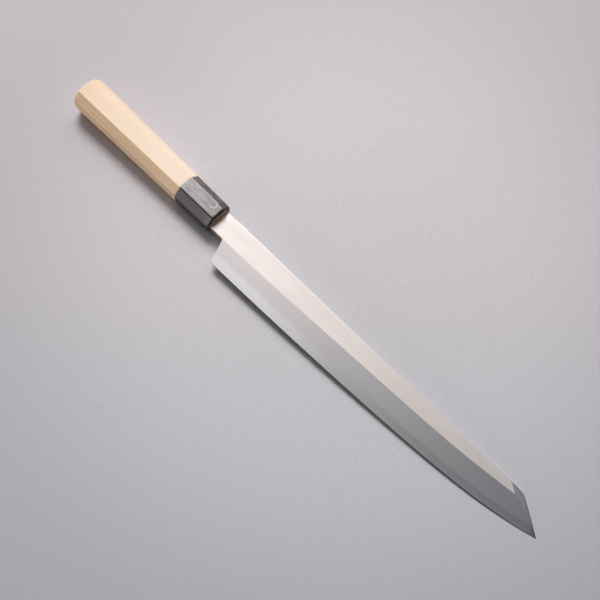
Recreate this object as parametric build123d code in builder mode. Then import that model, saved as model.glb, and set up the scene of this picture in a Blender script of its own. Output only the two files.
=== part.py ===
from build123d import *
from math import atan2, cos, degrees, sin, sqrt, tan
import os

# A single-bevel slicing knife for the right hand, with a slanted point and an octagonal wooden handle.
# It is drawn straight: X from the mouth of the ferrule to the point, Y to the spine, Z up through the
# bevelled side, zero in the middle of the ferrule's mouth. At the end the knife is laid on a table.

# Handle and ferrule, an octagon that grows evenly from the mouth to the butt
handle_length = 147.6
ferrule_length = 35.0
mouth_width = 22.1
mouth_height = 19.0
mouth_corner = 5.8
butt_width = 26.3
butt_height = 22.0
butt_corner = 6.3
butt_dome = 29.0
butt_round = 0.8
edge_round = 0.9
mouth_bevel = 1.6

# Blade: reaches are from the ferrule's mouth, setbacks are back from the point, and levels are from the
# handle's axis towards the spine
notch_reach = 12.6
heel_rake = 6.0
spine_start_reach = 14.0
point_reach = 308.6
tip_start_setback = 37.3
ridge_end_setback = 29.2
tip_corner_setback = 25.8
neck_spine_level = 7.85
spine_start_level = 8.62
spine_sag = 0.45
tip_corner_level = 10.4
ridge_start_level = -8.85
ridge_end_level = 5.4
neck_edge_level = -8.75
heel_level = -26.55
point_level = -6.1
neck_blend = 200.0
notch_round = 1.5
tip_corner_round = 9.0
spine_easing = 0.35

# Thickness of the blade, of its hard steel, and of the blade's back where the tip's bevel meets it
neck_thickness = 4.0
tip_thickness = 2.6
tip_back_thickness = 1.0
steel_thickness = 1.2
steel_tip_thickness = 0.8
steel_setback = 0.4
hollow_depth = 0.45
hollow_rim = 1.6

# The cutting edge and the ridge as curves: share of their length, and share of their rise
edge_curve_shares = [(0.0, 0.0), (0.315, 0.103), (0.626, 0.302), (0.85, 0.58), (1.0, 1.0)]
ridge_curve_shares = [(0.0, 0.0), (0.253, 0.135), (0.553, 0.37), (0.777, 0.575), (1.0, 1.0), (1.075, 1.22)]
# The hollow of the back: share of the edge's length, and share of the full depth there
hollow_shares = [(0.012, 0.15), (0.05, 0.7), (0.3, 1.0), (0.6, 0.95), (0.8, 0.75), (0.94, 0.2)]

# Tang: the blade's iron drawn out behind the neck, down the middle of the handle
tang_length = 106.0
tang_width = 10.6
tang_end_width = 5.6
tang_end_thickness = 2.4
taper_start_reach = 0.5

# Joint of ferrule, handle and tang
web_thickness = 7.0
shoulder_clearance = 0.5
slot_clearance = 0.45
seal_recess = 0.5
bore_diameter = 15.2
tenon_clearance = 0.1
tenon_end_clearance = 0.6
tang_clearance = 0.3

# Spare metal of the blank, depth of the cuts, and how far the bevel's surface runs past its lines
edge_stock = 2.0
overrun = 4.0
bevel_overrun_share = 0.35
lead_share = 0.2
bevel_rulings = 9

# Places worked out from the sizes above
heel_reach = notch_reach + heel_rake
tip_start_reach = point_reach - tip_start_setback
ridge_end_reach = point_reach - ridge_end_setback
tip_corner_reach = point_reach - tip_corner_setback
back_face = -neck_thickness / 2
flat_fall = atan2(neck_thickness - tip_thickness, tip_start_reach)
neck_insert = web_thickness - shoulder_clearance
blade_width = tip_corner_level - heel_level

os.makedirs("parts", exist_ok=True)


def across(reach, level=0.0, height=0.0):
    """The plane square to the handle's axis at a reach, with its X to the spine and its Y up."""
    return Plane(origin=(reach, level, height), x_dir=(0, 1, 0), z_dir=(1, 0, 0))


def octagon_at(back, inset=0.0):
    """The handle's octagon a distance behind the mouth, drawn in by an inset all round."""
    share = back / handle_length
    width = mouth_width + (butt_width - mouth_width) * share - 2 * inset
    height = mouth_height + (butt_height - mouth_height) * share - 2 * inset
    corner = mouth_corner + (butt_corner - mouth_corner) * share - (2 - sqrt(2)) * inset
    with BuildSketch(across(-back)) as octagon:
        Rectangle(width, height)
        chamfer(octagon.vertices(), length=corner)
        fillet(octagon.vertices(), radius=edge_round)
    return octagon.sketch


def rectangle_at(reach, width, height):
    """A plain rectangle across the handle's axis."""
    with BuildSketch(across(reach)) as rectangle:
        Rectangle(width, height)
    return rectangle.sketch


def flat_side(reach):
    """Height of the blade's flat side, which thins evenly from the neck to the tip."""
    return neck_thickness / 2 - tan(flat_fall) * reach


def edge_point(share, rise):
    """A point of the cutting edge from its shares, on the back face."""
    reach = heel_reach + (point_reach - heel_reach) * share
    level = heel_level + (point_level - heel_level) * rise
    return Vector(reach, level, back_face)


def ridge_point(share, rise):
    """A point of the ridge from its shares, on the flat side."""
    reach = notch_reach + (ridge_end_reach - notch_reach) * share
    level = ridge_start_level + (ridge_end_level - ridge_start_level) * rise
    return Vector(reach, level, flat_side(reach))


def spine_level(reach):
    """Level of the blade's back: a long shallow arc, and then the slanted tip."""
    share = (reach - spine_start_reach) / (tip_corner_reach - spine_start_reach)
    along = spine_start_level + (tip_corner_level - spine_start_level) * share
    slant = (reach - tip_corner_reach) / (point_reach - tip_corner_reach)
    tip = tip_corner_level + (point_level - tip_corner_level) * slant
    return min(along - 4 * spine_sag * share * (1 - share), tip)


def past(end, inside):
    """A little further the way a row of points goes at its end."""
    return end + (end - inside) * lead_share


# The two lines that give the blade its shape, and the corners of its outline
with BuildLine() as cutting_edge:
    Spline(*[edge_point(*shares) for shares in edge_curve_shares])
with BuildLine() as ridge:
    Spline(*[ridge_point(*shares) for shares in ridge_curve_shares])
heel = cutting_edge.line @ 0
point = cutting_edge.line @ 1
notch = Vector(notch_reach, ridge_start_level, back_face)
spine_start = Vector(spine_start_reach, spine_start_level, back_face)
spine_middle_reach = (spine_start_reach + tip_corner_reach) / 2
spine_middle = Vector(spine_middle_reach, spine_level(spine_middle_reach), back_face)
tip_corner = Vector(tip_corner_reach, tip_corner_level, back_face)

# The forged blank is left wide outside the edge, where the bevel's grinding trims it
heel_stock = heel + (heel - notch).normalized() * edge_stock
point_stock = point + (point - tip_corner).normalized() * 2 * edge_stock
edge_stock_line = [point_stock]
for share, rise in reversed(edge_curve_shares[1:-1]):
    edge_stock_line.append(edge_point(share, rise) - Vector(0, edge_stock, 0))
edge_stock_line.append(heel_stock)

with BuildPart() as blank:
    with BuildSketch(Plane.XY.offset(back_face)) as outline:
        with BuildLine():
            Polyline(
                (heel_stock.X, heel_stock.Y),
                (notch.X, notch.Y),
                (-neck_insert, neck_edge_level),
                (-neck_insert, -tang_width / 2),
                (-tang_length, -tang_end_width / 2),
                (-tang_length, tang_end_width / 2),
                (-neck_insert, tang_width / 2),
                (-neck_insert, neck_spine_level),
                (spine_start.X, spine_start.Y),
            )
            ThreePointArc(
                (spine_start.X, spine_start.Y),
                (spine_middle.X, spine_middle.Y),
                (tip_corner.X, tip_corner.Y),
            )
            Line((tip_corner.X, tip_corner.Y), (point_stock.X, point_stock.Y))
            Spline(*[(place.X, place.Y) for place in edge_stock_line])
        make_face()
        for corner, radius in ((notch, notch_round), (spine_start, neck_blend), (tip_corner, tip_corner_round)):
            fillet(outline.vertices().sort_by_distance(corner)[0], radius=radius)
    extrude(amount=neck_thickness + overrun)
    # The flat side, with its edge along the spine eased
    flat_plane = Plane(origin=(0, 0, flat_side(0)), z_dir=(sin(flat_fall), 0, cos(flat_fall)))
    split(bisect_by=flat_plane, keep=Keep.BOTTOM)
    flat_edges = blank.faces().sort_by(Axis.Z)[-1].edges()
    upper_edges = flat_edges.filter_by(lambda line: (line @ 0.5).Y > tang_width / 2)
    spine_edges = upper_edges.filter_by(lambda line: (line @ 0.5).X > -neck_insert)
    fillet(spine_edges, radius=spine_easing)

# What the grinding of the bevel takes away: all above a ruled surface through the ridge and the cutting
# edge, which runs on past both lines and both ends and so cuts clean through the flat side and the back
inner_points, outer_points = [], []
for step in range(bevel_rulings):
    high = ridge.line @ (step / (bevel_rulings - 1))
    low = cutting_edge.line @ (step / (bevel_rulings - 1))
    inner_points.append(high + (high - low) * bevel_overrun_share)
    outer_points.append(low + (low - high) * bevel_overrun_share)
for points in (inner_points, outer_points):
    points.insert(0, past(points[0], points[1]))
    points.append(past(points[-1], points[-2]))
with BuildLine() as inner_line:
    Spline(*inner_points)
with BuildLine() as outer_line:
    Spline(*outer_points)
with BuildPart() as bevel_waste:
    bevel_face = Face.make_surface_from_curves(inner_line.edge(), outer_line.edge())
    extrude(bevel_face, amount=neck_thickness + overrun, dir=(0, 0, 1))

# What the hollow grinding takes out of the back: low round-topped sections that keep a rim all round
hollow_sections = []
for share, depth_share in hollow_shares:
    edge_place = cutting_edge.line @ share
    low = edge_place.Y + hollow_rim
    high = spine_level(edge_place.X) - hollow_rim
    with BuildSketch(across(edge_place.X, height=back_face)) as hollow_section:
        with BuildLine():
            ThreePointArc((low, 0), ((low + high) / 2, hollow_depth * depth_share), (high, 0))
            Polyline((high, 0), (high, -overrun), (low, -overrun), (low, 0))
        make_face()
    hollow_sections.append(hollow_section.sketch)
with BuildPart() as hollow_waste:
    loft(sections=hollow_sections)

# The ground blade, still as one body of iron and steel
with BuildPart() as ground_blade:
    add(blank.part)
    add(bevel_waste.part, mode=Mode.SUBTRACT)
    # Behind the point the bevel turns up: a flat cut from the end of the flat side to the slanted back
    tip_start = Vector(tip_start_reach, spine_level(tip_start_reach), flat_side(tip_start_reach))
    ridge_end = Vector(ridge_end_reach, ridge_end_level, flat_side(ridge_end_reach))
    slant_start = Vector(tip_corner_reach, tip_corner_level, back_face + tip_back_thickness)
    tip_normal = (slant_start - ridge_end).cross(tip_start - ridge_end)
    split(bisect_by=Plane(origin=ridge_end, z_dir=tip_normal), keep=Keep.BOTTOM)
    add(hollow_waste.part, mode=Mode.SUBTRACT)
    # The tang thins towards its end, on both sides
    taper = atan2(flat_side(taper_start_reach) - tang_end_thickness / 2, tang_length + taper_start_reach)
    for side in (1, -1):
        taper_start = (taper_start_reach, 0, side * flat_side(taper_start_reach))
        taper_plane = Plane(origin=taper_start, z_dir=(-sin(taper), 0, side * cos(taper)))
        split(bisect_by=taper_plane, keep=Keep.BOTTOM)

# The layer of hard steel forge-welded under the iron, from just past the notch to the point
with BuildPart() as steel_layer:
    with BuildSketch(Plane.XZ):
        Polygon(
            (notch_reach + steel_setback, back_face - overrun),
            (point_reach + overrun, back_face - overrun),
            (point_reach + overrun, back_face + steel_tip_thickness),
            (notch_reach + steel_setback, back_face + steel_thickness),
            align=None,
        )
    extrude(amount=blade_width, both=True)

# Edge steel: the cutting edge, the lower part of the bevel and the hollow back
with BuildPart() as edge_steel:
    add(ground_blade.part)
    add(steel_layer.part, mode=Mode.INTERSECT)

# Cladding: soft iron with the flat side, the upper part of the bevel, the neck and the tang
with BuildPart() as blade_cladding:
    add(ground_blade.part)
    add(steel_layer.part, mode=Mode.SUBTRACT)

# Ferrule: a block of horn with its rim bevelled, bored for the tenon and slotted for the neck
slot_level = (neck_spine_level + neck_edge_level) / 2
slot_width = neck_spine_level - neck_edge_level + 2 * slot_clearance
slot_height = neck_thickness + 2 * slot_clearance
with BuildPart() as horn_ferrule:
    loft(sections=[octagon_at(0, inset=mouth_bevel), octagon_at(mouth_bevel)], ruled=True)
    loft(sections=[octagon_at(mouth_bevel), octagon_at(ferrule_length)], ruled=True)
    with BuildSketch(across(-ferrule_length)):
        Circle(bore_diameter / 2)
    extrude(amount=ferrule_length - web_thickness, mode=Mode.SUBTRACT)
    with BuildSketch(across(-web_thickness, slot_level)):
        Rectangle(slot_width, slot_height)
    extrude(amount=web_thickness, mode=Mode.SUBTRACT)

# Handle: magnolia wood, its butt domed, with a tenon in front and a tapered hole for the tang
with BuildPart() as butt_waste:
    with Locations((-handle_length, 0, 0)):
        Box(butt_width, 2 * butt_width, 2 * butt_width)
    with Locations((butt_dome - handle_length, 0, 0)):
        Sphere(butt_dome, mode=Mode.SUBTRACT)
with BuildPart() as wood_handle:
    loft(sections=[octagon_at(ferrule_length), octagon_at(handle_length)], ruled=True)
    add(butt_waste.part, mode=Mode.SUBTRACT)
    domed_end = wood_handle.faces().sort_by(Axis.X)[0]
    fillet(domed_end.edges(), radius=butt_round)
    with BuildSketch(across(-ferrule_length)):
        Circle(bore_diameter / 2 - tenon_clearance)
    extrude(amount=ferrule_length - web_thickness - tenon_end_clearance)
    hole_mouth = rectangle_at(
        -web_thickness,
        tang_width + 2 * tang_clearance,
        neck_thickness + 2 * tang_clearance,
    )
    hole_end = rectangle_at(
        -tang_length - tang_clearance,
        tang_end_width + 2 * tang_clearance,
        tang_end_thickness + 2 * tang_clearance,
    )
    loft(sections=[hole_mouth, hole_end], ruled=True, mode=Mode.SUBTRACT)

# Seal: resin that fills the slot round the neck, a little behind the ferrule's mouth
with BuildPart() as tang_seal:
    with BuildSketch(across(-web_thickness, slot_level)):
        Rectangle(slot_width, slot_height)
    extrude(amount=web_thickness - seal_recess)
    add(blade_cladding.part, mode=Mode.SUBTRACT)

# The knife lies bevel up on a table, on the ferrule's lower rim and on its point, with the butt in the
# air. The origin is on the table under the middle of the whole knife.
rim_depth = (mouth_height + (butt_height - mouth_height) * mouth_bevel / handle_length) / 2
pitch = atan2(rim_depth + back_face, point_reach + mouth_bevel)
laid_down = Rot(Y=degrees(pitch))
pieces = (blade_cladding, edge_steel, horn_ferrule, wood_handle, tang_seal)
room = Compound(children=[laid_down * piece.part for piece in pieces]).bounding_box()
on_table = Pos(-room.center().X, -room.center().Y, -room.min.Z) * laid_down
for piece in pieces:
    piece.part.move(on_table)

blade_cladding.part.label = "blade_cladding"
export_step(blade_cladding.part, "parts/blade_cladding.step")
edge_steel.part.label = "edge_steel"
export_step(edge_steel.part, "parts/edge_steel.step")
horn_ferrule.part.label = "horn_ferrule"
export_step(horn_ferrule.part, "parts/horn_ferrule.step")
wood_handle.part.label = "wood_handle"
export_step(wood_handle.part, "parts/wood_handle.step")
tang_seal.part.label = "tang_seal"
export_step(tang_seal.part, "parts/tang_seal.step")
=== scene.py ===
from math import atan2, cos, pi, radians, sin, sqrt

import bmesh
import bpy
import numpy as np
from mathutils import Matrix, Vector


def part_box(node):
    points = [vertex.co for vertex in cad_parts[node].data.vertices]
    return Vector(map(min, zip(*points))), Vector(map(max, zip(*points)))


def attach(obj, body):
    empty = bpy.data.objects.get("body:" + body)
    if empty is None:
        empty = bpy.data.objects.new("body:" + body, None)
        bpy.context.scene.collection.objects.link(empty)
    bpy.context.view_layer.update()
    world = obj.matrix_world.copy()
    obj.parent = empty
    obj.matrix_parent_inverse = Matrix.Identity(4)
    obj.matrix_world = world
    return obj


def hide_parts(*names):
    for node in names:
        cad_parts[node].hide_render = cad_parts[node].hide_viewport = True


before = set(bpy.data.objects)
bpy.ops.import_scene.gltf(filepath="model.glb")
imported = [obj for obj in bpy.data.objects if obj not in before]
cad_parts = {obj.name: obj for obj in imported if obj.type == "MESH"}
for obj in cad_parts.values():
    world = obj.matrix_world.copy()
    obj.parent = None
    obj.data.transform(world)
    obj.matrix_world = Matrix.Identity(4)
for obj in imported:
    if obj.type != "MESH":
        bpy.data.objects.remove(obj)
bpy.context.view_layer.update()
scene = bpy.context.scene
scene.view_settings.view_transform = "Standard"

# Where the knife lies. Pieces are drawn straight, in millimetres: X from the ferrule's mouth to the point,
# Y to the spine, Z up through the bevelled side. laid_down turns that into metres and puts it where the
# knife rests, on the ferrule's lower rim and on its point
mm = 0.001
point_reach = 308.6
point_level = -6.1
back_face = -2.0
handle_length = 147.6
mouth_bevel = 1.6
mouth_size = Vector((22.1, 19.0))
butt_size = Vector((26.3, 22.0))
rim_depth = (mouth_size.y + (butt_size.y - mouth_size.y) * mouth_bevel / handle_length) / 2
pitch = atan2(rim_depth + back_face, point_reach + mouth_bevel)
tilted = Matrix.Rotation(pitch, 4, "Y") @ Matrix.Scale(mm, 4)
steel_low, steel_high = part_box("edge_steel")
wood_low, wood_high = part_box("wood_handle")
point_from_mouth = tilted @ Vector((point_reach, 0, back_face))
mouth_place = Vector((
    steel_high.x - point_from_mouth.x,
    (wood_low.y + wood_high.y) / 2,
    steel_low.z - point_from_mouth.z,
))
laid_down = Matrix.Translation(mouth_place) @ tilted

# Camera: a long lens that looks down on the knife from in front of it, on the edge's side, and takes a
# square picture
picture_size = 600
view_azimuth = radians(45.697)
view_height = radians(68.432)
view_distance = 0.8
view_offset = Vector((81.33, 0.86, 0))
view_centre = mouth_place.xy.to_3d() + view_offset * mm
sensor_width = 36.0
lens_in_pixels = 1135.0
view_back = Vector((
    sin(view_azimuth) * cos(view_height),
    -cos(view_azimuth) * cos(view_height),
    sin(view_height),
))
camera = bpy.data.objects.new("camera", bpy.data.cameras.new("camera"))
camera.data.sensor_width = sensor_width
camera.data.lens = sensor_width * lens_in_pixels / picture_size
camera.data.clip_start = 0.01
camera.location = view_centre + view_back * view_distance
camera.rotation_euler = view_back.to_track_quat("Z", "Y").to_euler()
scene.collection.objects.link(camera)
scene.camera = camera

# Blade: soft iron forge-welded over a layer of hard steel, drawn out into the tang, and ground to a
# flat side, one broad bevel, a slanted tip and a hollow back. First its lines, as the grinder sees them:
# levels are from the handle's axis to the spine, reaches from the ferrule's mouth
notch_reach = 12.6
heel_reach = 18.6
heel_level = -26.55
ridge_start_level = -8.85
ridge_end_reach = 279.4
ridge_end_level = 5.4
tip_start_reach = 271.3
spine_start_reach = 14.0
spine_start_level = 8.62
tip_corner_reach = 282.8
tip_corner_level = 10.4
tip_corner_setback = 2.7
spine_sag = 0.45
neck_spine_level = 7.85
neck_edge_level = -8.75
neck_insert = 6.5
neck_easing = 0.35
tang_length = 106.0
tang_width = 10.6
tang_end_width = 5.6
tang_end_thickness = 2.4
neck_thickness = 4.0
tip_thickness = 2.6
tip_back_thickness = 1.0
tip_edge_share = 0.973
spine_easing = 0.35
back_easing = 0.12
hollow_depth = 0.45
hollow_rim = 1.6
final_bevel = 0.42
final_bevel_lift = 0.09
tip_blend = 0.5
tip_blend_reach = 8.0
edge_curve_shares = ((0.0, 0.0), (0.315, 0.103), (0.626, 0.302), (0.85, 0.58), (1.0, 1.0))
ridge_curve_shares = (
    (0.0, 0.0), (0.253, 0.135), (0.553, 0.37), (0.777, 0.575), (1.0, 1.0), (1.075, 1.22),
)
hollow_shares = (
    (0.0, 0.0), (0.012, 0.15), (0.05, 0.7), (0.3, 1.0), (0.6, 0.95), (0.8, 0.75), (0.94, 0.2), (1.0, 0.0),
)
bevel_rows = 18
flat_rows = 8
easing_rows = 4
hollow_rows = 14
notch_setback = 1.12
notch_rings = 5
notch_rows = 3
tang_shares = (0.0, 0.25, 0.5, 0.75, 1.0)
neck_reaches = (-neck_insert, -3.0, 0.5, 3.0, 6.0, 9.0, 11.0)
blade_rings = 200
tip_rings = 44
tip_corner_steps = 12
plan_search_steps = 12
ridge_lead = 0.001


def curve_through(shares):
    """The spline through a row of shares: share of the rise from share of the length."""
    along, rise = (np.array(values) for values in zip(*shares))
    steps = np.diff(along)
    slopes = np.diff(rise) / steps
    bends = np.zeros((len(along), len(along)))
    bends[0, :3] = steps[1], -steps[0] - steps[1], steps[0]
    bends[-1, -3:] = steps[-1], -steps[-2] - steps[-1], steps[-2]
    turns = np.zeros(len(along))
    for index in range(1, len(along) - 1):
        before, after = steps[index - 1], steps[index]
        bends[index, index - 1:index + 2] = before, 2 * (before + after), after
        turns[index] = 6 * (slopes[index] - slopes[index - 1])
    bend = np.linalg.solve(bends, turns)

    def rise_at(share):
        index = int(np.clip(np.searchsorted(along, share) - 1, 0, len(steps) - 1))
        past, step = share - along[index], steps[index]
        slope = slopes[index] - step * (2 * bend[index] + bend[index + 1]) / 6
        curl = (bend[index + 1] - bend[index]) / (6 * step)
        return float(rise[index] + past * slope + past**2 * bend[index] / 2 + past**3 * curl)

    return rise_at


edge_curve = curve_through(edge_curve_shares)
ridge_curve = curve_through(ridge_curve_shares)


def edge_place(share):
    """The cutting edge at a share of its length, in plan."""
    rise = point_level - heel_level
    return Vector((heel_reach + (point_reach - heel_reach) * share, heel_level + rise * edge_curve(share)))


def ridge_place(share):
    """The ridge between bevel and flat side at a share of its length, in plan."""
    rise = ridge_end_level - ridge_start_level
    reach = notch_reach + (ridge_end_reach - notch_reach) * share
    return Vector((reach, ridge_start_level + rise * ridge_curve(share)))


def spine_arc(reach):
    """The spine's level past the neck: a long shallow arc to the tip's corner."""
    share = (reach - spine_start_reach) / (tip_corner_reach - spine_start_reach)
    level = spine_start_level + (tip_corner_level - spine_start_level) * share
    return level - 4 * spine_sag * share * (1 - share)


def spine_place(reach):
    """The spine at a reach, in plan: straight along the neck, and then the arc."""
    if reach < spine_start_reach:
        share = (reach + neck_insert) / (spine_start_reach + neck_insert)
        return Vector((reach, neck_spine_level + (spine_start_level - neck_spine_level) * share))
    return Vector((reach, spine_arc(reach)))


def flat_side(reach):
    """Height of the flat side, which thins evenly from the neck to the tip."""
    return neck_thickness / 2 - (neck_thickness - tip_thickness) * reach / tip_start_reach


def bevel_height(place):
    """Height of the bevel's surface: straight lines from the cutting edge to the ridge."""
    share = (place.x - heel_reach) / (point_reach - heel_reach)
    for _ in range(plan_search_steps):
        low, high = edge_place(share), ridge_place(share)
        across = high - low
        aside = (place - low).cross(across) / across.length
        share += aside / (point_reach - heel_reach)
    low, high = edge_place(share), ridge_place(share)
    climb = (place - low).dot(high - low) / (high - low).length_squared
    return back_face + (flat_side(high.x) - back_face) * climb


tip_start = spine_place(tip_start_reach)
tip_start_top = tip_start.to_3d() + Vector((0, 0, flat_side(tip_start_reach)))
ridge_end_top = ridge_place(1).to_3d() + Vector((0, 0, flat_side(ridge_end_reach)))
tip_corner_top = Vector((tip_corner_reach, tip_corner_level, back_face + tip_back_thickness))
tip_normal = (tip_corner_top - ridge_end_top).cross(tip_start_top - ridge_end_top).normalized()


def tip_height(place):
    """Height of the flat cut that turns the bevel up to the slanted back, eased into the bevel."""
    rise = (place - ridge_end_top.xy).dot(tip_normal.xy) / tip_normal.z
    cut = ridge_end_top.z - rise
    bevel = bevel_height(place)
    blend = tip_blend * min((place - ridge_end_top.xy).length / tip_blend_reach, 1)
    gap = max(blend - abs(cut - bevel), 0) / max(blend, 1e-6)
    return max(min(cut, bevel) - gap * gap * blend / 4, back_face)


def blade_ring(low, ridge, high, heights, hollow, shares=None):
    """One closed ring: from the cutting edge up the bevel to the ridge, across the flat side, over the
    spine and back under the blade. heights gives the top for a place in plan."""
    shares = shares or [row / bevel_rows for row in range(bevel_rows)]
    width = (high - low).length
    toward = (high - low).normalized() if width > 1e-6 else Vector((0, 1))
    thick = heights(high) - back_face
    easing = min(spine_easing, 0.3 * width, 0.45 * thick)
    under = min(back_easing, 0.2 * width, 0.2 * thick)
    rim = min(hollow_rim, 0.3 * width)
    edge_step = min(final_bevel, 0.2 * width)
    ring = [low.to_3d() + Vector((0, 0, back_face))]
    first = (ridge - low).normalized() * edge_step if (ridge - low).length > 1e-6 else Vector((0, 0))
    for share in shares:
        place = (low + first).lerp(ridge, share)
        lift = final_bevel_lift * (1 - share) * min(1, width / 4)
        ring.append(place.to_3d() + Vector((0, 0, min(heights(place) + lift, flat_side(place.x)))))
    shoulder = high - toward * easing
    for row in range(flat_rows):
        place = ridge.lerp(shoulder, row / flat_rows)
        ring.append(place.to_3d() + Vector((0, 0, heights(place))))
    for row in range(easing_rows + 1):
        turn = pi / 2 * row / easing_rows
        place = high - toward * easing * (1 - sin(turn))
        ring.append(place.to_3d() + Vector((0, 0, back_face + thick - easing * (1 - cos(turn)))))
    ring.append(high.to_3d() + Vector((0, 0, back_face + under)))
    ring.append((high - toward * under).to_3d() + Vector((0, 0, back_face)))
    for row in range(hollow_rows + 1):
        share = row / hollow_rows
        place = (high - toward * rim).lerp(low + toward * rim, share)
        ring.append(place.to_3d() + Vector((0, 0, back_face + hollow * 4 * share * (1 - share))))
    return ring


def neck_ring(reach, low_level, high_level, bottom, top, corner=None, ridge=None):
    """One ring of the tang or the neck, a rectangle with eased edges, with the same rows as the blade.
    Round the notch its lower side ends on the bevel, which then climbs to the ridge."""
    corner = corner or Vector((reach, low_level))
    ridge = ridge or corner
    high = Vector((reach, high_level))
    inward = Vector((0, neck_easing))
    drop = (ridge - corner).length * (top - bottom) / (edge_place(0) - ridge_place(0)).length
    wall_rows = bevel_rows - notch_rows + 1
    ring = [(corner + inward).to_3d() + Vector((0, 0, bottom))]
    for row in range(wall_rows):
        climb = (top - drop - bottom - neck_easing) * row / (wall_rows - 1)
        ring.append(corner.to_3d() + Vector((0, 0, bottom + neck_easing + climb)))
    for row in range(1, notch_rows):
        share = row / notch_rows
        ring.append(corner.lerp(ridge, share).to_3d() + Vector((0, 0, top - drop * (1 - share))))
    for row in range(flat_rows):
        place = ridge.lerp(high - inward, row / flat_rows)
        ring.append(place.to_3d() + Vector((0, 0, top)))
    for row in range(easing_rows + 1):
        turn = pi / 2 * row / easing_rows
        place = high - inward * (1 - sin(turn))
        ring.append(place.to_3d() + Vector((0, 0, top - neck_easing * (1 - cos(turn)))))
    ring.append(high.to_3d() + Vector((0, 0, bottom + back_easing)))
    ring.append((high - Vector((0, back_easing))).to_3d() + Vector((0, 0, bottom)))
    for row in range(hollow_rows + 1):
        place = (high - inward).lerp(corner + inward, row / hollow_rows)
        ring.append(place.to_3d() + Vector((0, 0, bottom)))
    return ring


def eased_corner(before, corner, after, setback, steps):
    """Places round a corner that is rounded from a setback before it to a setback after it."""
    start = corner + (before - corner).normalized() * setback
    end = corner + (after - corner).normalized() * setback
    shares = [step / steps for step in range(steps + 1)]
    return [start * (1 - t) ** 2 + corner * (2 * t * (1 - t)) + end * t**2 for t in shares]


def evenly(places, count):
    """Even steps along a row of places in plan."""
    lengths = [0.0]
    for before, after in zip(places, places[1:]):
        lengths.append(lengths[-1] + (after - before).length)
    wanted = np.linspace(0, lengths[-1], count)
    reaches = np.interp(wanted, lengths, [place.x for place in places])
    levels = np.interp(wanted, lengths, [place.y for place in places])
    return [Vector(pair) for pair in zip(reaches, levels)]


rings = []
tang_end = -tang_length
for share in tang_shares:
    reach = tang_end + (tang_length - neck_insert) * share
    width = tang_end_width + (tang_width - tang_end_width) * share
    thick = tang_end_thickness + (neck_thickness - tang_end_thickness) * (reach - tang_end) / tang_length
    rings.append(neck_ring(reach, -width / 2, width / 2, -thick / 2, thick / 2))
notch = ridge_place(0)
heel = edge_place(0)
for reach in neck_reaches:
    share = (reach + neck_insert) / (notch_reach + neck_insert)
    low_level = neck_edge_level + (notch.y - neck_edge_level) * share
    top = flat_side(max(reach, 0))
    rings.append(neck_ring(reach, low_level, spine_place(reach).y, back_face, top))
neck_rings = len(rings)
heel_line = (heel - notch).normalized()
for corner in eased_corner(Vector((0, neck_edge_level)), notch, heel, notch_setback, notch_rings):
    below = max((corner - notch).dot(heel_line), 0)
    ridge = corner - heel_line * below
    top = flat_side(corner.x)
    rings.append(neck_ring(corner.x, corner.y, spine_place(corner.x).y, back_face, top, corner, ridge))


def hollow_at(share):
    """Depth of the hollow back at a share of the edge's length."""
    return hollow_depth * float(np.interp(share, *zip(*hollow_shares)))


def across_bevel(low, ridge):
    """Heights along a straight line across the bevel, and of the flat side past the ridge."""
    def height_at(place):
        climb = min((place - low).length / (ridge - low).length, 1)
        return min(back_face + (flat_side(ridge.x) - back_face) * climb, flat_side(place.x))

    return height_at


def across_tip(place):
    """Height at the tip's line, where the slanted cut begins."""
    return min(tip_height(place), flat_side(place.x))


heel_ring = len(rings)
notch_share = 1 - notch_setback / (notch - heel).length
heel_shares = [notch_share * row / (bevel_rows - notch_rows) for row in range(bevel_rows - notch_rows)]
heel_shares += [notch_share + (1 - notch_share) * row / notch_rows for row in range(notch_rows)]
for step in range(blade_rings + 1):
    share = step / blade_rings
    low = edge_place(share * tip_edge_share)
    ridge = ridge_place(ridge_lead + (1 - ridge_lead) * share)
    high = spine_place(spine_start_reach + (tip_start_reach - spine_start_reach) * share)
    heights = across_tip if step == blade_rings else across_bevel(low, ridge)
    shares = heel_shares if step == 0 else None
    rings.append(blade_ring(low, ridge, high, heights, hollow_at(share * tip_edge_share), shares))
tip_line_ring = len(rings) - 1

corner = Vector((tip_corner_reach, tip_corner_level))
point = edge_place(1)
back_corner = eased_corner(tip_start, corner, point, tip_corner_setback, tip_corner_steps)
back_places = evenly([tip_start, *back_corner, point], tip_rings + 1)
tip_line_start = edge_place(tip_edge_share)
ridge_share = (ridge_place(1) - tip_line_start).length / (tip_start - tip_line_start).length
for step in range(1, tip_rings + 1):
    share = step / tip_rings
    edge_share = tip_edge_share + (1 - tip_edge_share) * share
    low, high = edge_place(edge_share), back_places[step]
    rings.append(blade_ring(low, low.lerp(high, ridge_share), high, tip_height, hollow_at(edge_share)))


sharp_angle = radians(35.0)
merge_distance = 1e-7
sliver_length = 1e-8


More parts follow.
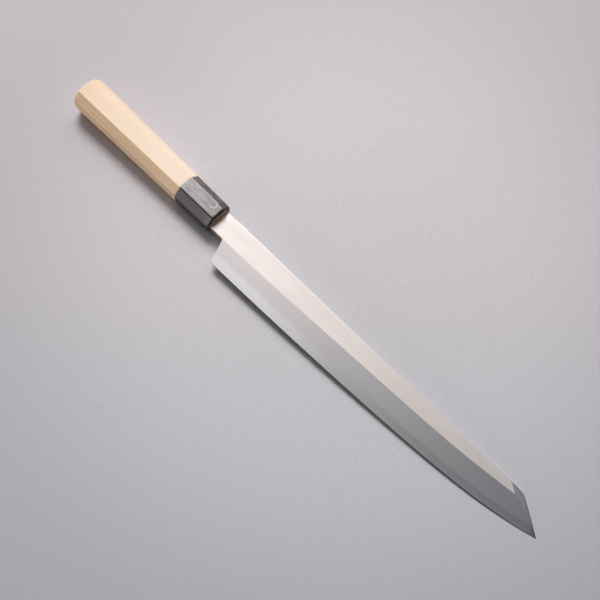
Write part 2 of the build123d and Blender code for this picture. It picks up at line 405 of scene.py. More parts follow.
def skinned(name, rings, capped=True, face_finish=None, sharp=None):
    """A mesh skinned over a row of closed rings with equal counts, laid down where the knife lies.
    face_finish gives a face's material slot, and sharp says whether a ring's or a row's edge is kept."""
    count = len(rings[0])
    vertices = [laid_down @ Vector(place) for ring in rings for place in ring]
    faces, slots = [], []
    for ring in range(len(rings) - 1):
        for row in range(count):
            after = (row + 1) % count
            faces.append((
                ring * count + row,
                ring * count + after,
                (ring + 1) * count + after,
                (ring + 1) * count + row,
            ))
            slots.append(face_finish(ring, row) if face_finish else 0)
    if capped:
        faces.append(tuple(reversed(range(count))))
        faces.append(tuple(range((len(rings) - 1) * count, len(rings) * count)))
        slots += [slots[0], slots[-1]]
    mesh = bpy.data.meshes.new(name)
    mesh.from_pydata([tuple(vertex) for vertex in vertices], [], faces)
    for face, slot in zip(mesh.polygons, slots):
        face.material_index = slot
        face.use_smooth = True
    body = bmesh.new()
    body.from_mesh(mesh)
    body.verts.ensure_lookup_table()
    if sharp:
        for edge in body.edges:
            first, second = sorted(vertex.index for vertex in edge.verts)
            edge.smooth = not sharp(*divmod(first, count), *divmod(second, count))
    bmesh.ops.remove_doubles(body, verts=body.verts, dist=merge_distance)
    bmesh.ops.dissolve_degenerate(body, edges=body.edges, dist=sliver_length)
    bmesh.ops.recalc_face_normals(body, faces=body.faces)
    for edge in body.edges:
        if edge.is_manifold and edge.calc_face_angle(0) > sharp_angle:
            edge.smooth = False
    body.to_mesh(mesh)
    body.free()
    made = bpy.data.objects.new(name, mesh)
    scene.collection.objects.link(made)
    return made


ridge_row = 1 + bevel_rows
spine_row = ridge_row + flat_rows
back_row = spine_row + easing_rows + 1


def blade_finish_at(ring, row):
    """Flat side and neck, bevel and tip, or back."""
    if row < ridge_row:
        on_notch = ring >= neck_rings and row > bevel_rows - notch_rows
        return 1 if ring >= heel_ring or on_notch else 0
    if row < back_row - 1:
        return 1 if ring >= tip_line_ring else 0
    return 2


def blade_sharp_at(ring, row, other_ring, other_row):
    """The ground lines that stay crisp: the ridge, the tip's line, the edge's last bevel, the heel."""
    if row == other_row and neck_rings <= ring < tip_line_ring:
        return row in (0, 1, ridge_row, spine_row)
    if row == other_row:
        return row in (0, 1, spine_row)
    if ring == other_ring == tip_line_ring:
        return ridge_row <= row < spine_row
    if ring == other_ring == heel_ring:
        return row < ridge_row
    return False


class Field:
    """A value, colour or direction that changes over a surface. Arithmetic on it adds Math nodes."""

    def __init__(self, tree, socket):
        self.tree = tree
        self.socket = socket

    @classmethod
    def node(cls, tree, kind, settings, inputs, output=0):
        """A node of one kind, with its settings made first and then its sockets set or linked."""
        made = tree.nodes.new(kind)
        for name, value in settings.items():
            setattr(made, name, value)
        for name, value in inputs.items():
            if isinstance(value, Field):
                tree.links.new(value.socket, made.inputs[name])
            else:
                made.inputs[name].default_value = value
        return cls(tree, None if output is None else made.outputs[output])

    def math(self, operation, *others):
        inputs = dict(enumerate((self, *others)))
        return Field.node(self.tree, "ShaderNodeMath", {"operation": operation}, inputs)

    def __add__(self, other):
        return self.math("ADD", other)

    __radd__ = __add__

    def __sub__(self, other):
        return self.math("SUBTRACT", other)

    def __rsub__(self, other):
        return (self * -1.0).math("ADD", other)

    def __mul__(self, other):
        return self.math("MULTIPLY", other)

    __rmul__ = __mul__

    def __truediv__(self, other):
        return self.math("DIVIDE", other)

    def __pow__(self, other):
        return self.math("POWER", other)

    def __abs__(self):
        return self.math("ABSOLUTE")


class Finish:
    """A material's nodes, with places on the knife measured straight, in millimetres."""

    def __init__(self, name):
        self.material = bpy.data.materials.new(name)
        self.material.use_nodes = True
        self.tree = self.material.node_tree
        self.tree.nodes.clear()
        coordinates = self.node("ShaderNodeTexCoord", {}, {}, output="Object")
        placing = {
            "Vector": coordinates,
            "Location": mouth_place,
            "Rotation": (0, pitch, 0),
            "Scale": (mm, mm, mm),
        }
        self.place = self.node("ShaderNodeMapping", {"vector_type": "TEXTURE"}, placing)
        self.reach, self.level, self.height = (
            self.node("ShaderNodeSeparateXYZ", {}, {"Vector": self.place}, output=axis) for axis in "XYZ"
        )

    def node(self, kind, settings, inputs, output=0):
        return Field.node(self.tree, kind, settings, inputs, output)

    def grain(self, sizes, detail=3.0, rough=0.5, shift=0.0):
        """Noise whose features are about sizes millimetres long in reach, level and height."""
        scale = tuple(1 / size for size in sizes)
        scaled = {"Vector": self.place, "Location": (shift, shift, shift), "Scale": scale}
        place = self.node("ShaderNodeMapping", {}, scaled)
        noise = {"Vector": place, "Scale": 1.0, "Detail": detail, "Roughness": rough}
        return self.node("ShaderNodeTexNoise", {}, noise)

    def place_along(self, direction):
        """How far a place lies along a direction, from the middle of the ferrule's mouth."""
        inputs = {0: self.place, 1: tuple(direction)}
        return self.node("ShaderNodeVectorMath", {"operation": "DOT_PRODUCT"}, inputs, output="Value")

    def between(self, value, low, high, start=0.0, end=1.0):
        """A smooth step from start to end as a value goes from low to high."""
        limits = {"Value": value, "From Min": low, "From Max": high, "To Min": start, "To Max": end}
        return self.node("ShaderNodeMapRange", {"interpolation_type": "SMOOTHSTEP"}, limits)

    def mix(self, first, second, share):
        """A colour between two colours."""
        first = (*first, 1) if isinstance(first, tuple) else first
        second = (*second, 1) if isinstance(second, tuple) else second
        return self.node("ShaderNodeMix", {"data_type": "RGBA"}, {0: share, 6: first, 7: second}, output=2)

    def bump(self, height, distance):
        """A bump from a height between 0 and 1, that is distance millimetres high."""
        inputs = {"Height": height, "Distance": distance * mm, "Strength": 1.0}
        return self.node("ShaderNodeBump", {}, inputs)

    def surface(self, **inputs):
        """The shader itself, with each socket's name written in lower case with underscores."""
        names = [name.replace("_", " ").title().replace("Ior", "IOR") for name in inputs]
        sockets = dict(zip(names, inputs.values()))
        shader = self.node("ShaderNodeBsdfPrincipled", {}, sockets, output="BSDF")
        self.node("ShaderNodeOutputMaterial", {}, {"Surface": shader}, output=None)


# Flat side: satin from a fine lengthwise hone, a warm white with painted shade that greys it towards the
# tip, a painted highlight near the ferrule's mouth and a painted highlight line along the spine; the narrow
# walls of the neck and the heel keep their tan forge skin
satin = Finish("satin_flat_side")
brushing = satin.grain((30, 0.12, 0.12), detail=4, rough=0.6)
clouds = satin.grain((40, 9, 9), detail=3)
warm = satin.mix((0.545, 0.498, 0.478), (0.575, 0.526, 0.505), satin.between(clouds, 0.35, 0.7))
beige_painted_shade = satin.mix((0.525, 0.487, 0.461), (0.552, 0.512, 0.484), satin.between(clouds, 0.35, 0.7))
# painted shade: the flat side greys from the warm white to a beige towards the tip
warm = satin.mix(warm, beige_painted_shade, satin.between(satin.reach, 20, 240))
warm = satin.mix(warm, (0.48, 0.43, 0.41), satin.between(brushing, 0.5, 0.8) * 0.22)
# painted highlight: the flat side is whitened next to the ferrule's mouth, where the ferrule's shadow falls
warm = satin.mix(warm, (0.92, 0.87, 0.84), satin.between(satin.reach, 8, 1) * 0.35)
# painted highlight: a bright line along the spine's edge, fading towards the tip
from_spine = spine_arc(satin.reach) - satin.level
spine_painted_highlight = satin.between(from_spine, 0.9, 0.3) * satin.between(satin.reach, 60, 200, 0.55, 0.15)
warm = satin.mix(warm, (0.80, 0.80, 0.84), spine_painted_highlight)
below_flat = flat_side(satin.reach) - satin.height
wall = satin.between(below_flat, 0.08, 0.3) * satin.between(satin.level, 0, -2)
skin = satin.mix((0.80, 0.70, 0.66), (0.52, 0.41, 0.31), satin.between(satin.level, -9.6, -9.0))
satin.surface(
    base_color=satin.mix(warm, skin, wall),
    metallic=1.0 - wall * 0.9,
    roughness=0.64 + (brushing - 0.5) * 0.10,
    normal=satin.bump(brushing, 0.004),
)

# Bevel: stone-finished, hazy and warm over the iron, brighter and bluer over the steel. The line of the
# weld between them is soft near the heel and turns into a dark ripple towards the tip. Painted light lies
# over it: a tone that lightens towards the tip, painted highlights along the tip's cut, the ridge and the
# edge, and painted shade along the slanted back, along the edge near the tip and at the point
misty = Finish("misty_bevel")
up_bevel = (misty.height - back_face) / (flat_side(misty.reach) - back_face)
onward = misty.between(misty.reach, 30, 250)
wander = misty.grain((16, 400, 400), detail=4, rough=0.55)
fine_wander = misty.grain((3.0, 400, 400), detail=3, shift=3.1)
weld_line = 0.42 - onward * 0.13 + (wander - 0.5) * 0.22 + (fine_wander - 0.5) * 0.05
above = up_bevel - weld_line
softness = 0.11 - onward * 0.07
stone = misty.grain((0.5, 5, 5), detail=4, rough=0.65)
speckle = misty.grain((0.9, 0.9, 0.9), detail=3, rough=0.7)
mist = misty.grain((18, 5, 5), detail=4)
# painted light: the iron and the steel are toned lighter and bluer towards the tip
iron_start = misty.mix((0.515, 0.475, 0.472), (0.545, 0.504, 0.500), mist)
iron_end = misty.mix((0.600, 0.600, 0.606), (0.635, 0.635, 0.643), mist)
iron = misty.mix(iron_start, iron_end, misty.between(misty.reach, 60, 200))
iron = misty.mix(iron, (0.605, 0.615, 0.640), misty.between(misty.reach, 215, 285))
steel = misty.mix((0.570, 0.566, 0.572), (0.600, 0.596, 0.604), mist)
steel = misty.mix(steel, (0.600, 0.604, 0.625), misty.between(misty.reach, 120, 210))
ground = misty.mix(steel, iron, misty.between(above / softness, -1.0, 1.0))
ripple = misty.between(above, -0.17, -0.02) * misty.between(above, 0.08, 0.0)
ground = misty.mix(ground, (0.42, 0.425, 0.44), ripple * misty.between(misty.reach, 110, 240) * 0.36)
steel_specks = misty.between(speckle, 0.5, 0.85) * misty.between(above, 0.0, -0.12)
ground = misty.mix(ground, (0.36, 0.36, 0.36), steel_specks * 0.35)
ground = misty.mix(ground, (0.36, 0.355, 0.35), misty.between(stone, 0.5, 0.8) * 0.12)
# painted highlight: a bright line along the tip's cut, past the ridge
from_cut = abs(misty.place_along(tip_normal) - ridge_end_top.dot(tip_normal))
past_ridge = misty.between(misty.reach, tip_start_reach - 1, tip_start_reach + 1)
ground = misty.mix(ground, (0.70, 0.715, 0.745), misty.between(from_cut, 0.25, 0.04) * past_ridge * 0.8)
slant = Vector((point_reach - tip_corner_reach, point_level - tip_corner_level)).normalized()
# painted shade: a dark band along the slanted back near the point
past_back = (misty.reach - point_reach) * -slant.y + (misty.level - point_level) * slant.x
ground = misty.mix(ground, (0.17, 0.17, 0.18), misty.between(past_back, -0.9, -0.3) * 0.75)
# painted highlight: a warm pale line along the ridge, short of the tip
before_tip = misty.between(misty.reach, ridge_end_reach + 2, ridge_end_reach - 4)
ground = misty.mix(ground, (0.72, 0.60, 0.52), misty.between(up_bevel, 0.965, 0.99) * before_tip * 0.45)
# painted light along the edge: a warm highlight near the heel that turns into dark painted shade towards
# the tip
painted_edge_line = misty.between(up_bevel, 0.075, 0.035)
painted_edge_tone = misty.mix((0.86, 0.74, 0.55), (0.16, 0.16, 0.17), misty.between(misty.reach, 190, 245))
ground = misty.mix(ground, painted_edge_tone, painted_edge_line * 0.8)
# painted shade: the point is darkened
ground = misty.mix(ground, (0.12, 0.12, 0.13), misty.between(misty.reach, 298, 308) * 0.6)
misty.surface(
    base_color=ground,
    metallic=1.0,
    roughness=misty.between(above, -0.05, 0.05, 0.33, 0.345) + (stone - 0.5) * 0.05,
    normal=misty.bump(stone, 0.003),
)

# Back and spine: the back is ground hollow on a large wheel and its rim stoned flat, and the spine keeps
# the same fine grinding
hollow = Finish("hollow_back")
rings_of_grinding = hollow.grain((0.35, 12, 12), detail=3, rough=0.6)
back_clouds = hollow.grain((25, 10, 10))
hollow.surface(
    base_color=hollow.mix((0.56, 0.565, 0.57), (0.66, 0.66, 0.655), back_clouds),
    metallic=1.0,
    roughness=0.33 + (rings_of_grinding - 0.5) * 0.15,
    normal=hollow.bump(rings_of_grinding, 0.005),
)

ground_blade = skinned("ground_blade", rings, face_finish=blade_finish_at, sharp=blade_sharp_at)
for finish in (satin, misty, hollow):
    ground_blade.data.materials.append(finish.material)

# The two metals, parted along their forge weld: steel below a plane just above the back, which thins
# towards the point, and soft iron above it
steel_thickness = 1.2
steel_tip_thickness = 0.8
steel_setback = 0.4
overrun = 4.0
weld_tolerance = 0.002
level_enough = 0.999
weld_start = notch_reach + steel_setback
weld_end = point_reach + overrun
weld_corners = (
    (weld_start, back_face - overrun),
    (weld_end, back_face - overrun),
    (weld_end, back_face + steel_tip_thickness),
    (weld_start, back_face + steel_thickness),
)
weld_sides = (heel_level - overrun, tip_corner_level + overrun)
weld_rings = [[(x, y, z) for x, z in weld_corners] for y in weld_sides]
weld_block = skinned("weld_block", weld_rings)
weld_block.data.materials.append(hollow.material)


def parted(name, operation):
    """The blade's iron or its steel, with the weld's edge kept crisp."""
    made = ground_blade.copy()
    made.data = ground_blade.data.copy()
    made.name = name
    scene.collection.objects.link(made)
    cut = made.modifiers.new("weld", "BOOLEAN")
    cut.operation = operation
    cut.solver = "EXACT"
    cut.object = weld_block
    shown = made.evaluated_get(bpy.context.evaluated_depsgraph_get())
    mesh = bpy.data.meshes.new_from_object(shown)
    made.modifiers.clear()
    made.data = mesh
    mesh.name = name
    up = (laid_down.to_3x3() @ Vector((0, 0, 1))).normalized()
    body = bmesh.new()
    body.from_mesh(mesh)
    straight = laid_down.inverted()
    for edge in body.edges:
        on_weld = []
        for face in edge.link_faces:
            middle = straight @ face.calc_center_median()
            share = (middle.x - weld_start) / (weld_end - weld_start)
            plane = back_face + steel_thickness + (steel_tip_thickness - steel_thickness) * share
            flat = abs(face.normal.dot(up)) > level_enough
            on_weld.append(flat and abs(middle.z - plane) < weld_tolerance)
        if any(on_weld) and not all(on_weld):
            edge.smooth = False
    body.to_mesh(mesh)
    body.free()
    return made


edge_steel = parted("edge_steel_ground", "INTERSECT")
cladding = parted("cladding_ground", "DIFFERENCE")
bpy.data.objects.remove(ground_blade)
bpy.data.objects.remove(weld_block)
for piece, node, slot_name in (
    (cladding, "blade_cladding", "cladding_iron"),
    (edge_steel, "edge_steel", "edge_steel"),
):
    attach(piece, "root")
    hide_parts(node)

# Ferrule: a block of water-buffalo horn, bored for the handle's tenon and slotted for the neck, filed
# to the handle's octagon with a bevel round its mouth, and polished. The horn is dark, with paler smoke
# and a flame of pale fibre on its upper facet, and the cut face at its mouth stays brown. Painted light
# lies on it: a paler top facet as painted reflection, darker side facets and a black underside as painted
# shade, black lines along the top's edge and round the mouth's bevel, and a painted highlight at a front
# corner
ferrule_length = 35.0
mouth_corner = 5.8
butt_corner = 6.3
edge_round = 0.9
web_thickness = 7.0
bore_diameter = 15.2
slot_clearance = 0.45
seam_easing = 0.12
corner_steps = 5
facet_points = 3
ring_count = 8 * (corner_steps + 1 + facet_points)
ferrule_steps = 24
mouth_profile = (
    (1.9, 0.0), (1.72, 0.03), (1.5, 0.14), (1.2, 0.4), (0.8, 0.8), (0.4, 1.2), (0.2, 1.42), (0.06, 1.62),
    (0.0, 1.82),
)
slot_lip = 0.15
facet_start = mouth_size / 2 - Vector((mouth_corner, mouth_corner))
facet_slope = (butt_size / 2 - Vector((butt_corner, butt_corner)) - facet_start) / handle_length


def octagon(reach, inset=0.0):
    """A ring of the handle's octagon with rounded edges, from the middle of the spine's side upward."""
    share = -reach / handle_length
    half = (mouth_size + (butt_size - mouth_size) * share) / 2 - Vector((inset, inset))
    corner = mouth_corner + (butt_corner - mouth_corner) * share - (2 - sqrt(2)) * inset
    setback = edge_round * (sqrt(2) - 1)
    right = Vector((half.x, half.y - corner))
    top = Vector((half.x - corner, half.y))
    mirrored = Vector((-1, 1))
    outline = [right, top, top * mirrored, right * mirrored]
    outline += [-place for place in outline]
    ring = []
    for index, place in enumerate(outline):
        before, after = outline[index - 1], outline[(index + 1) % 8]
        turn = eased_corner(before, place, after, setback, corner_steps)
        next_turn = eased_corner(place, after, outline[(index + 2) % 8], setback, corner_steps)
        ring += turn
        for step in range(1, facet_points + 1):
            ring.append(turn[-1].lerp(next_turn[0], step / (facet_points + 1)))
    shift = ring_count - (facet_points + 1) // 2
    ring = ring[shift:] + ring[:shift]
    return [Vector((reach, level, height)) for level, height in ring]


def slot(reach, width, height, centre=0.0):
    """A rectangular ring with as many places as the octagon, from the middle of the spine's side."""
    long_side = ring_count * 7 // 18
    short_side = ring_count // 2 - long_side
    corners = [Vector((width / 2, height / 2)), Vector((-width / 2, height / 2))]
    corners += [-corner for corner in corners]
    ring = []
    for index, count in enumerate((long_side, short_side, long_side, short_side)):
        start, end = corners[index], corners[(index + 1) % 4]
        ring += [start.lerp(end, step / count) for step in range(count)]
    shift = ring_count - short_side // 2
    ring = ring[shift:] + ring[:shift]
    return [Vector((reach, level + centre, height)) for level, height in ring]


def circle(reach, radius):
    """A round ring with as many places as the octagon."""
    turns = [2 * pi * step / ring_count for step in range(ring_count)]
    return [Vector((reach, radius * cos(turn), radius * sin(turn))) for turn in turns]


slot_level = (neck_spine_level + neck_edge_level) / 2
slot_width = neck_spine_level - neck_edge_level + 2 * slot_clearance
slot_height = neck_thickness + 2 * slot_clearance
ferrule_rings = [
    circle(-ferrule_length, bore_diameter / 2),
    octagon(-ferrule_length, seam_easing),
    octagon(-ferrule_length + seam_easing / 3, seam_easing / 3),
    octagon(-ferrule_length + seam_easing),
]
straight_length = ferrule_length - mouth_profile[0][0]
for step in range(1, ferrule_steps):
    ferrule_rings.append(octagon(-ferrule_length + straight_length * step / ferrule_steps))
for back, inset in mouth_profile:
    ferrule_rings.append(octagon(-back, inset))
ferrule_rings += [
    slot(0.0, slot_width + 2 * slot_lip, slot_height + 2 * slot_lip, slot_level),
    slot(-slot_lip, slot_width, slot_height, slot_level),
    slot(-web_thickness, slot_width, slot_height, slot_level),
    circle(-web_thickness, bore_diameter / 2),
    circle(-ferrule_length, bore_diameter / 2),
]
ferrule = skinned("ferrule_polished", ferrule_rings, capped=False)

horn = Finish("buffalo_horn")
fibre = horn.grain((22, 0.5, 0.5), detail=4, rough=0.6)
marble = horn.grain((26, 5, 5), detail=4, rough=0.6, shift=4.0)
curl = horn.grain((6, 3, 3), detail=3, rough=0.5, shift=9.0)
swirl = horn.grain((7, 1.6, 1.6), detail=3, rough=0.6, shift=12.0)
facet_level = facet_start.x - horn.reach * facet_slope.x
on_top = horn.between(horn.height, 8.9, 9.2)
below_top = horn.between(horn.level, -4.9, -5.5)
beyond_top = horn.between(horn.level, 4.9, 5.5)
# painted light: the top facet's tone is paler as painted reflection, and the facets below and beyond it are
# darker as painted shade
sides_painted_shade = horn.mix((0.095, 0.078, 0.076), (0.150, 0.125, 0.122), horn.between(marble, 0.35, 0.65))
tone = horn.mix((0.130, 0.113, 0.112), (0.275, 0.243, 0.243), horn.between(marble, 0.38, 0.60))
tone = horn.mix(tone, (0.35, 0.313, 0.308), horn.between(swirl, 0.5, 0.75) * 0.5)
# darker towards the mouth
tone = horn.mix(tone, (0.17, 0.150, 0.148), horn.between(horn.reach, -13, -6) * 0.4)
pale_curls = on_top * horn.between(curl, 0.5, 0.7) * horn.between(horn.reach, -22, -30)
tone = horn.mix(tone, (0.32, 0.29, 0.285), pale_curls * 0.7)
tone = horn.mix(tone, sides_painted_shade, below_top)
# painted shade: the facet beyond the top is darker, most of all towards the mouth
right = horn.mix((0.20, 0.165, 0.158), (0.045, 0.034, 0.032), horn.between(swirl, 0.35, 0.6))
right = horn.mix(right, (0.045, 0.036, 0.034), horn.between(horn.reach, -14, -5) * 0.7)
tone = horn.mix(tone, right, beyond_top)
tone = horn.mix(tone, (0.16, 0.115, 0.085), horn.between(fibre, 0.55, 0.8) * (1 - on_top) * 0.45)
# painted shade: the horn is black on its upright sides and underside
tone = horn.mix(tone, (0.010, 0.010, 0.011), horn.between(horn.height, 3.6, 3.0))
# painted highlight at the front corner of the slanted facet on the edge's side
corner_painted_highlight = horn.between(horn.reach, -8, -2.5) * below_top * horn.between(horn.height, 3.6, 5.0)
tone = horn.mix(tone, (0.24, 0.19, 0.17), corner_painted_highlight * 0.6)
flame_level = horn.level - 2.65
flame_reach = (horn.reach + 9.0).math("MAXIMUM", 0.0)
flame = (flame_level * flame_level + flame_reach * flame_reach) ** 0.5 - 2.9 + (curl - 0.5) * 0.9
flame_line = horn.between(abs(flame), 1.0, 0.15) * horn.between(horn.height, 8.3, 8.7)
fading = horn.between(horn.reach, -8, -12) * horn.between(flame_level, 0.5, -0.5)
tone = horn.mix(tone, (0.50, 0.45, 0.43), flame_line * (1 - fading) * 0.6)
# painted shade: a black line along the edge between the top facet and the facet on the edge's side
from_edge = abs(horn.level + facet_level)
painted_edge_line = horn.between(from_edge, 0.85, 0.45) * horn.between(horn.height, 8.0, 8.4)
tone = horn.mix(tone, (0.006, 0.006, 0.006), painted_edge_line)
# painted reflection: the bevel round the mouth is near black, as a dark reflection
tone = horn.mix(tone, (0.008, 0.007, 0.007), horn.between(horn.reach, -1.75, -1.45))
brown = horn.mix((0.56, 0.29, 0.09), (0.20, 0.10, 0.04), horn.between(swirl, 0.4, 0.65))
tone = horn.mix(tone, brown, horn.between(horn.reach, -0.25, -0.05))
horn.surface(
    base_color=tone,
    roughness=0.38 + (fibre - 0.5) * 0.1,
    ior=1.54,
    normal=horn.bump(fibre, 0.006),
)
ferrule.data.materials.append(horn.material)
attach(ferrule, "root")
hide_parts("horn_ferrule")

# Handle: magnolia wood planed to the octagon, its butt domed and its edges eased with fine paper. Its
# round tenon goes into the ferrule, and the tang is driven into its tapered hole. The wood is pale with
# fine lengthwise pores. Painted light lies on it: the facets on the edge's side get a browner copy of the
# wood as painted shade, the wood is painted lighter towards the ferrule and on the upright facet of that
# side, and a painted highlight runs along the top facet's edge
butt_dome = 29.0
butt_round = 0.8
tenon_clearance = 0.1
tenon_end = 7.6
tenon_easing = 0.3
tang_clearance = 0.3
handle_steps = 59
butt_round_steps = 8
dome_insets = (1.6, 2.8, 4.4, 6.0, 7.6, 9.0)
dome_depth = butt_size.length_squared / (8 * butt_dome)
tenon_radius = bore_diameter / 2 - tenon_clearance


def domed(inset, forward=0.0):
    """A ring on the domed butt, drawn in by an inset and a distance in front of the dome."""
    ring = []
    for place in octagon(dome_depth - handle_length, inset):
        behind = butt_dome - sqrt(butt_dome**2 - place.yz.length_squared)
        ring.append(Vector((forward - handle_length + behind, place.y, place.z)))
    return ring


def tang_hole(reach, width, thickness):
    """A ring of the tang's hole, with clearance round a width and a thickness of the tang."""
    return slot(reach, width + 2 * tang_clearance, thickness + 2 * tang_clearance)


handle_rings = [
    tang_hole(-tang_length - tang_clearance, tang_end_width, tang_end_thickness),
    tang_hole(-tenon_end, tang_width, neck_thickness),
    circle(-tenon_end, tenon_radius - tenon_easing),
    circle(-tenon_end - tenon_easing, tenon_radius),
    circle(-ferrule_length, tenon_radius),
    octagon(-ferrule_length, seam_easing),
    octagon(-ferrule_length - seam_easing / 3, seam_easing / 3),
    octagon(-ferrule_length - seam_easing),
]
straight_length = handle_length - dome_depth - ferrule_length
for step in range(1, handle_steps + 1):
    handle_rings.append(octagon(-ferrule_length - straight_length * step / handle_steps))
for step in range(butt_round_steps + 1):
    turn = pi / 2 * step / butt_round_steps
    handle_rings.append(domed(butt_round * (1 - cos(turn)), butt_round * (1 - sin(turn))))
for inset in dome_insets:
    handle_rings.append(domed(inset))
handle = skinned("handle_planed", handle_rings)

magnolia = Finish("magnolia_wood")
pores = magnolia.grain((5.0, 0.14, 0.14), detail=3, rough=0.65)
flecks = magnolia.grain((1.6, 0.35, 0.35), detail=3, rough=0.7, shift=5.0)
streaks = magnolia.grain((60, 0.8, 0.8), detail=4, rough=0.55, shift=2.0)
broad = magnolia.grain((90, 5, 5), detail=3, shift=7.0)
cream = magnolia.mix((0.870, 0.672, 0.520), (0.80, 0.600, 0.425), magnolia.between(streaks, 0.35, 0.75))
cream = magnolia.mix(cream, (0.88, 0.705, 0.555), magnolia.between(broad, 0.4, 0.7) * 0.5)
patches = magnolia.grain((4, 1.7, 1.7), detail=3, rough=0.6, shift=11.0)
cream = magnolia.mix(cream, (0.82, 0.62, 0.42), magnolia.between(patches, 0.48, 0.68) * 0.42)
cream = magnolia.mix(cream, (0.60, 0.41, 0.26), magnolia.between(pores, 0.54, 0.85) * 0.4)
cream = magnolia.mix(cream, (0.93, 0.78, 0.62), magnolia.between(flecks, 0.55, 0.85) * 0.3)
# painted light: lighter from the middle towards the ferrule
cream = magnolia.mix(cream, (0.95, 0.78, 0.645), magnolia.between(magnolia.reach, -120, -50) * 0.6)
facet_level = facet_start.x - magnolia.reach * facet_slope.x
below_edge = magnolia.between(magnolia.level + facet_level, 0.15, -0.2)
# painted shade: a browner, more orange copy of the wood for the facets on the edge's side, lighter towards
# the ferrule
painted_shade = magnolia.mix((0.93, 0.655, 0.415), (0.86, 0.585, 0.355), magnolia.between(streaks, 0.4, 0.6))
painted_shade = magnolia.mix(painted_shade, (0.98, 0.72, 0.495), magnolia.between(magnolia.reach, -90, -35) * 0.7)
painted_shade = magnolia.mix(painted_shade, (0.60, 0.38, 0.21), magnolia.between(pores, 0.52, 0.8) * 0.4)
painted_shade = magnolia.mix(painted_shade, (0.64, 0.43, 0.26), magnolia.between(flecks, 0.52, 0.75) * 0.4)
# painted highlight: a pale line on the top facet along its edge on the edge's side
from_edge = abs(magnolia.level + facet_level - 0.45)
cream = magnolia.mix(cream, (0.99, 0.80, 0.55), magnolia.between(from_edge, 0.7, 0.3) * 0.55)
far_edge = abs(magnolia.level - facet_level)
cream = magnolia.mix(cream, (0.92, 0.73, 0.48), magnolia.between(far_edge, 2.6, 0.3) * 0.3)
butt_end = magnolia.between(magnolia.reach, 25.0 - handle_length, 2.0 - handle_length)
cream = magnolia.mix(cream, (0.80, 0.585, 0.385), butt_end * 0.6)
# painted light: the upright facet on the edge's side is lighter, with a thin line of painted shade along
# its upper edge
above_side = magnolia.height - (facet_start.y - magnolia.reach * facet_slope.y)
painted_shade = magnolia.mix(painted_shade, (0.94, 0.67, 0.43), magnolia.between(above_side, -0.2, -0.6) * 0.9)
painted_shade = magnolia.mix(painted_shade, (0.42, 0.25, 0.13), magnolia.between(abs(above_side + 0.1), 0.5, 0.15) * 0.25)
cream = magnolia.mix(cream, painted_shade, below_edge)
magnolia.surface(
    base_color=cream,
    roughness=0.62 + (streaks - 0.5) * 0.12,
    normal=magnolia.bump(pores, 0.03),
)
handle.data.materials.append(magnolia.material)
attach(handle, "root")
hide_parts("wood_handle")

# Seal: resin run into the slot round the neck, a little behind the ferrule's face, with its skin drawn
# down between horn and iron
seal_recess = 0.5
skin_dip = 0.12
skin_inset = 0.3
neck_dip = 0.08
neck_width = spine_place(0).y - neck_edge_level
neck_middle = (spine_place(0).y + neck_edge_level) / 2
halfway = (slot_level + neck_middle) / 2
seal_rings = [
    slot(-seal_recess, slot_width, slot_height, slot_level),
    slot(-seal_recess - skin_dip, slot_width - skin_inset, slot_height - skin_inset, halfway),
    slot(-seal_recess - neck_dip, neck_width, neck_thickness, neck_middle),
    slot(-web_thickness, neck_spine_level - neck_edge_level, neck_thickness, slot_level),
    slot(-web_thickness, slot_width, slot_height, slot_level),
    slot(-seal_recess, slot_width, slot_height, slot_level),
]
seal = skinned("seal_poured", seal_rings, capped=False)
resin = Finish("seal_resin")
specks = resin.grain((0.6, 0.6, 0.6), detail=3)
resin.surface(
    base_color=resin.mix((0.05, 0.040, 0.030), (0.13, 0.10, 0.07), specks),
    roughness=0.45 + (specks - 0.5) * 0.2,
    normal=resin.bump(specks, 0.03),
)
seal.data.materials.append(resin.material)
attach(seal, "root")
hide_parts("tang_seal")

# Studio: pale paper under a softbox that hangs behind the butt on the spine's side. A card above the handle
# whitens the blade near the heel, a side box and a low reflector soften the shadows, and the world adds a
# weak fill. A pool of light and a warm-to-cool tint are painted on the paper. Beyond the picture the paper
# glows a little, so that low views see a pale floor
floor_radius = 3.0
floor_sides = 96
floor_turns = [2 * pi * side / floor_sides for side in range(floor_sides)]
floor_places = [(floor_radius * cos(turn), floor_radius * sin(turn), 0) for turn in floor_turns]
floor_mesh = bpy.data.meshes.new("floor")
floor_mesh.from_pydata(floor_places, [], [tuple(range(floor_sides))])
floor = bpy.data.objects.new("floor", floor_mesh)
scene.collection.objects.link(floor)
paper = Finish("pale_paper")
tooth = paper.grain((1.9, 1.9, 1.9), detail=4, rough=0.75)
# painted light: a pool of light, whiter round a place 100 mm in front of the mouth and 40 mm to the spine's
# side
pool_reach = paper.reach - 100.0
pool_level = paper.level - 40.0
from_middle = (pool_reach * pool_reach + pool_level * pool_level) ** 0.5
# painted light: a warm tint towards the butt and the spine, a cool one towards the point and the edge
downward = paper.between(paper.reach - paper.level, -200, 400)
painted_pool_of_light = paper.mix((0.650, 0.612, 0.635), (0.632, 0.636, 0.664), downward)
pale = paper.mix((0.515, 0.482, 0.498), (0.496, 0.504, 0.535), downward)
pale = paper.mix(pale, painted_pool_of_light, paper.between(from_middle, 310, 100))
far_away = paper.between(from_middle, 340, 640)
looked_at = paper.node("ShaderNodeLightPath", {}, {}, output="Is Camera Ray")
looked_at = looked_at + paper.node("ShaderNodeLightPath", {}, {}, output="Is Glossy Ray")
paper.surface(
    base_color=paper.mix(pale, (0.45, 0.43, 0.44), paper.between(tooth, 0.42, 0.72) * 0.28),
    roughness=0.9,
    specular_ior_level=0.2,
    emission_color=paper.mix((0.0, 0.0, 0.0), (0.36, 0.36, 0.385), far_away * looked_at),
    emission_strength=1.0,
    normal=paper.bump(tooth, 0.02),
)
floor.data.materials.append(paper.material)


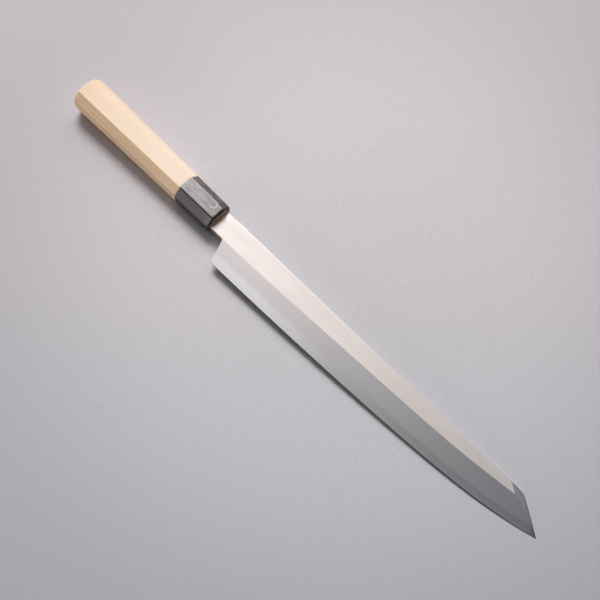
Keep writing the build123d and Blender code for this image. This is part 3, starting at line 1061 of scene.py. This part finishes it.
def soft_light(name, place, aim, turn, size, radiance):
    """A soft rectangular light: where it hangs and points, its turn, and its size in metres."""
    lamp = bpy.data.objects.new(name, bpy.data.lights.new(name, "AREA"))
    lamp.data.shape = "RECTANGLE"
    lamp.data.size, lamp.data.size_y = size
    lamp.data.energy = radiance * pi * size[0] * size[1]
    lamp.data.color = (1.0, 0.985, 0.99)
    backward = (Vector(place) - Vector(aim)).normalized()
    upward = backward.cross(Vector((cos(turn), sin(turn), 0))).normalized()
    lamp.matrix_world = Matrix((upward.cross(backward), upward, backward)).transposed().to_4x4()
    lamp.matrix_world.translation = place
    scene.collection.objects.link(lamp)


soft_light("softbox", (-0.842, 0.630, 1.31), (0.41, -0.38, 0), -1.421, (0.634, 0.880), 14.6)
soft_light("card", (-0.374, -0.016, 1.0), (0, 0, 0), 0.0, (0.322, 0.436), 2.4)
soft_light("side_box", (-0.35, 1.15, 0.95), (0, 0, 0), 0.0, (0.80, 0.50), 2.7)
soft_light("reflector", (0.1, -2.2, 0.44), (-0.08, 0, 0), 0.0, (3.0, 0.60), 1.9)

world = bpy.data.worlds.new("studio")
world.use_nodes = True
scene.world = world
world_tree = world.node_tree
world_tree.nodes.clear()
above_floor = Field.node(world_tree, "ShaderNodeTexCoord", {}, {}, output="Generated")
climb = Field.node(world_tree, "ShaderNodeSeparateXYZ", {}, {"Vector": above_floor}, output="Z")
climbing = {"Value": climb, "From Min": 0.0, "From Max": 0.8, "To Min": 1.0, "To Max": 0.0}
low_down = Field.node(world_tree, "ShaderNodeMapRange", {"interpolation_type": "SMOOTHSTEP"}, climbing)
seen = Field.node(world_tree, "ShaderNodeLightPath", {}, {}, output="Is Camera Ray")
mirrored = Field.node(world_tree, "ShaderNodeLightPath", {}, {}, output="Is Glossy Ray")
strength = 0.05 + mirrored * 0.10 + low_down * mirrored * 0.30 + seen * 0.60
glow = {"Color": (0.97, 0.97, 1.04, 1), "Strength": strength}
lit = Field.node(world_tree, "ShaderNodeBackground", {}, glow)
Field.node(world_tree, "ShaderNodeOutputWorld", {}, {"Surface": lit}, output=None)
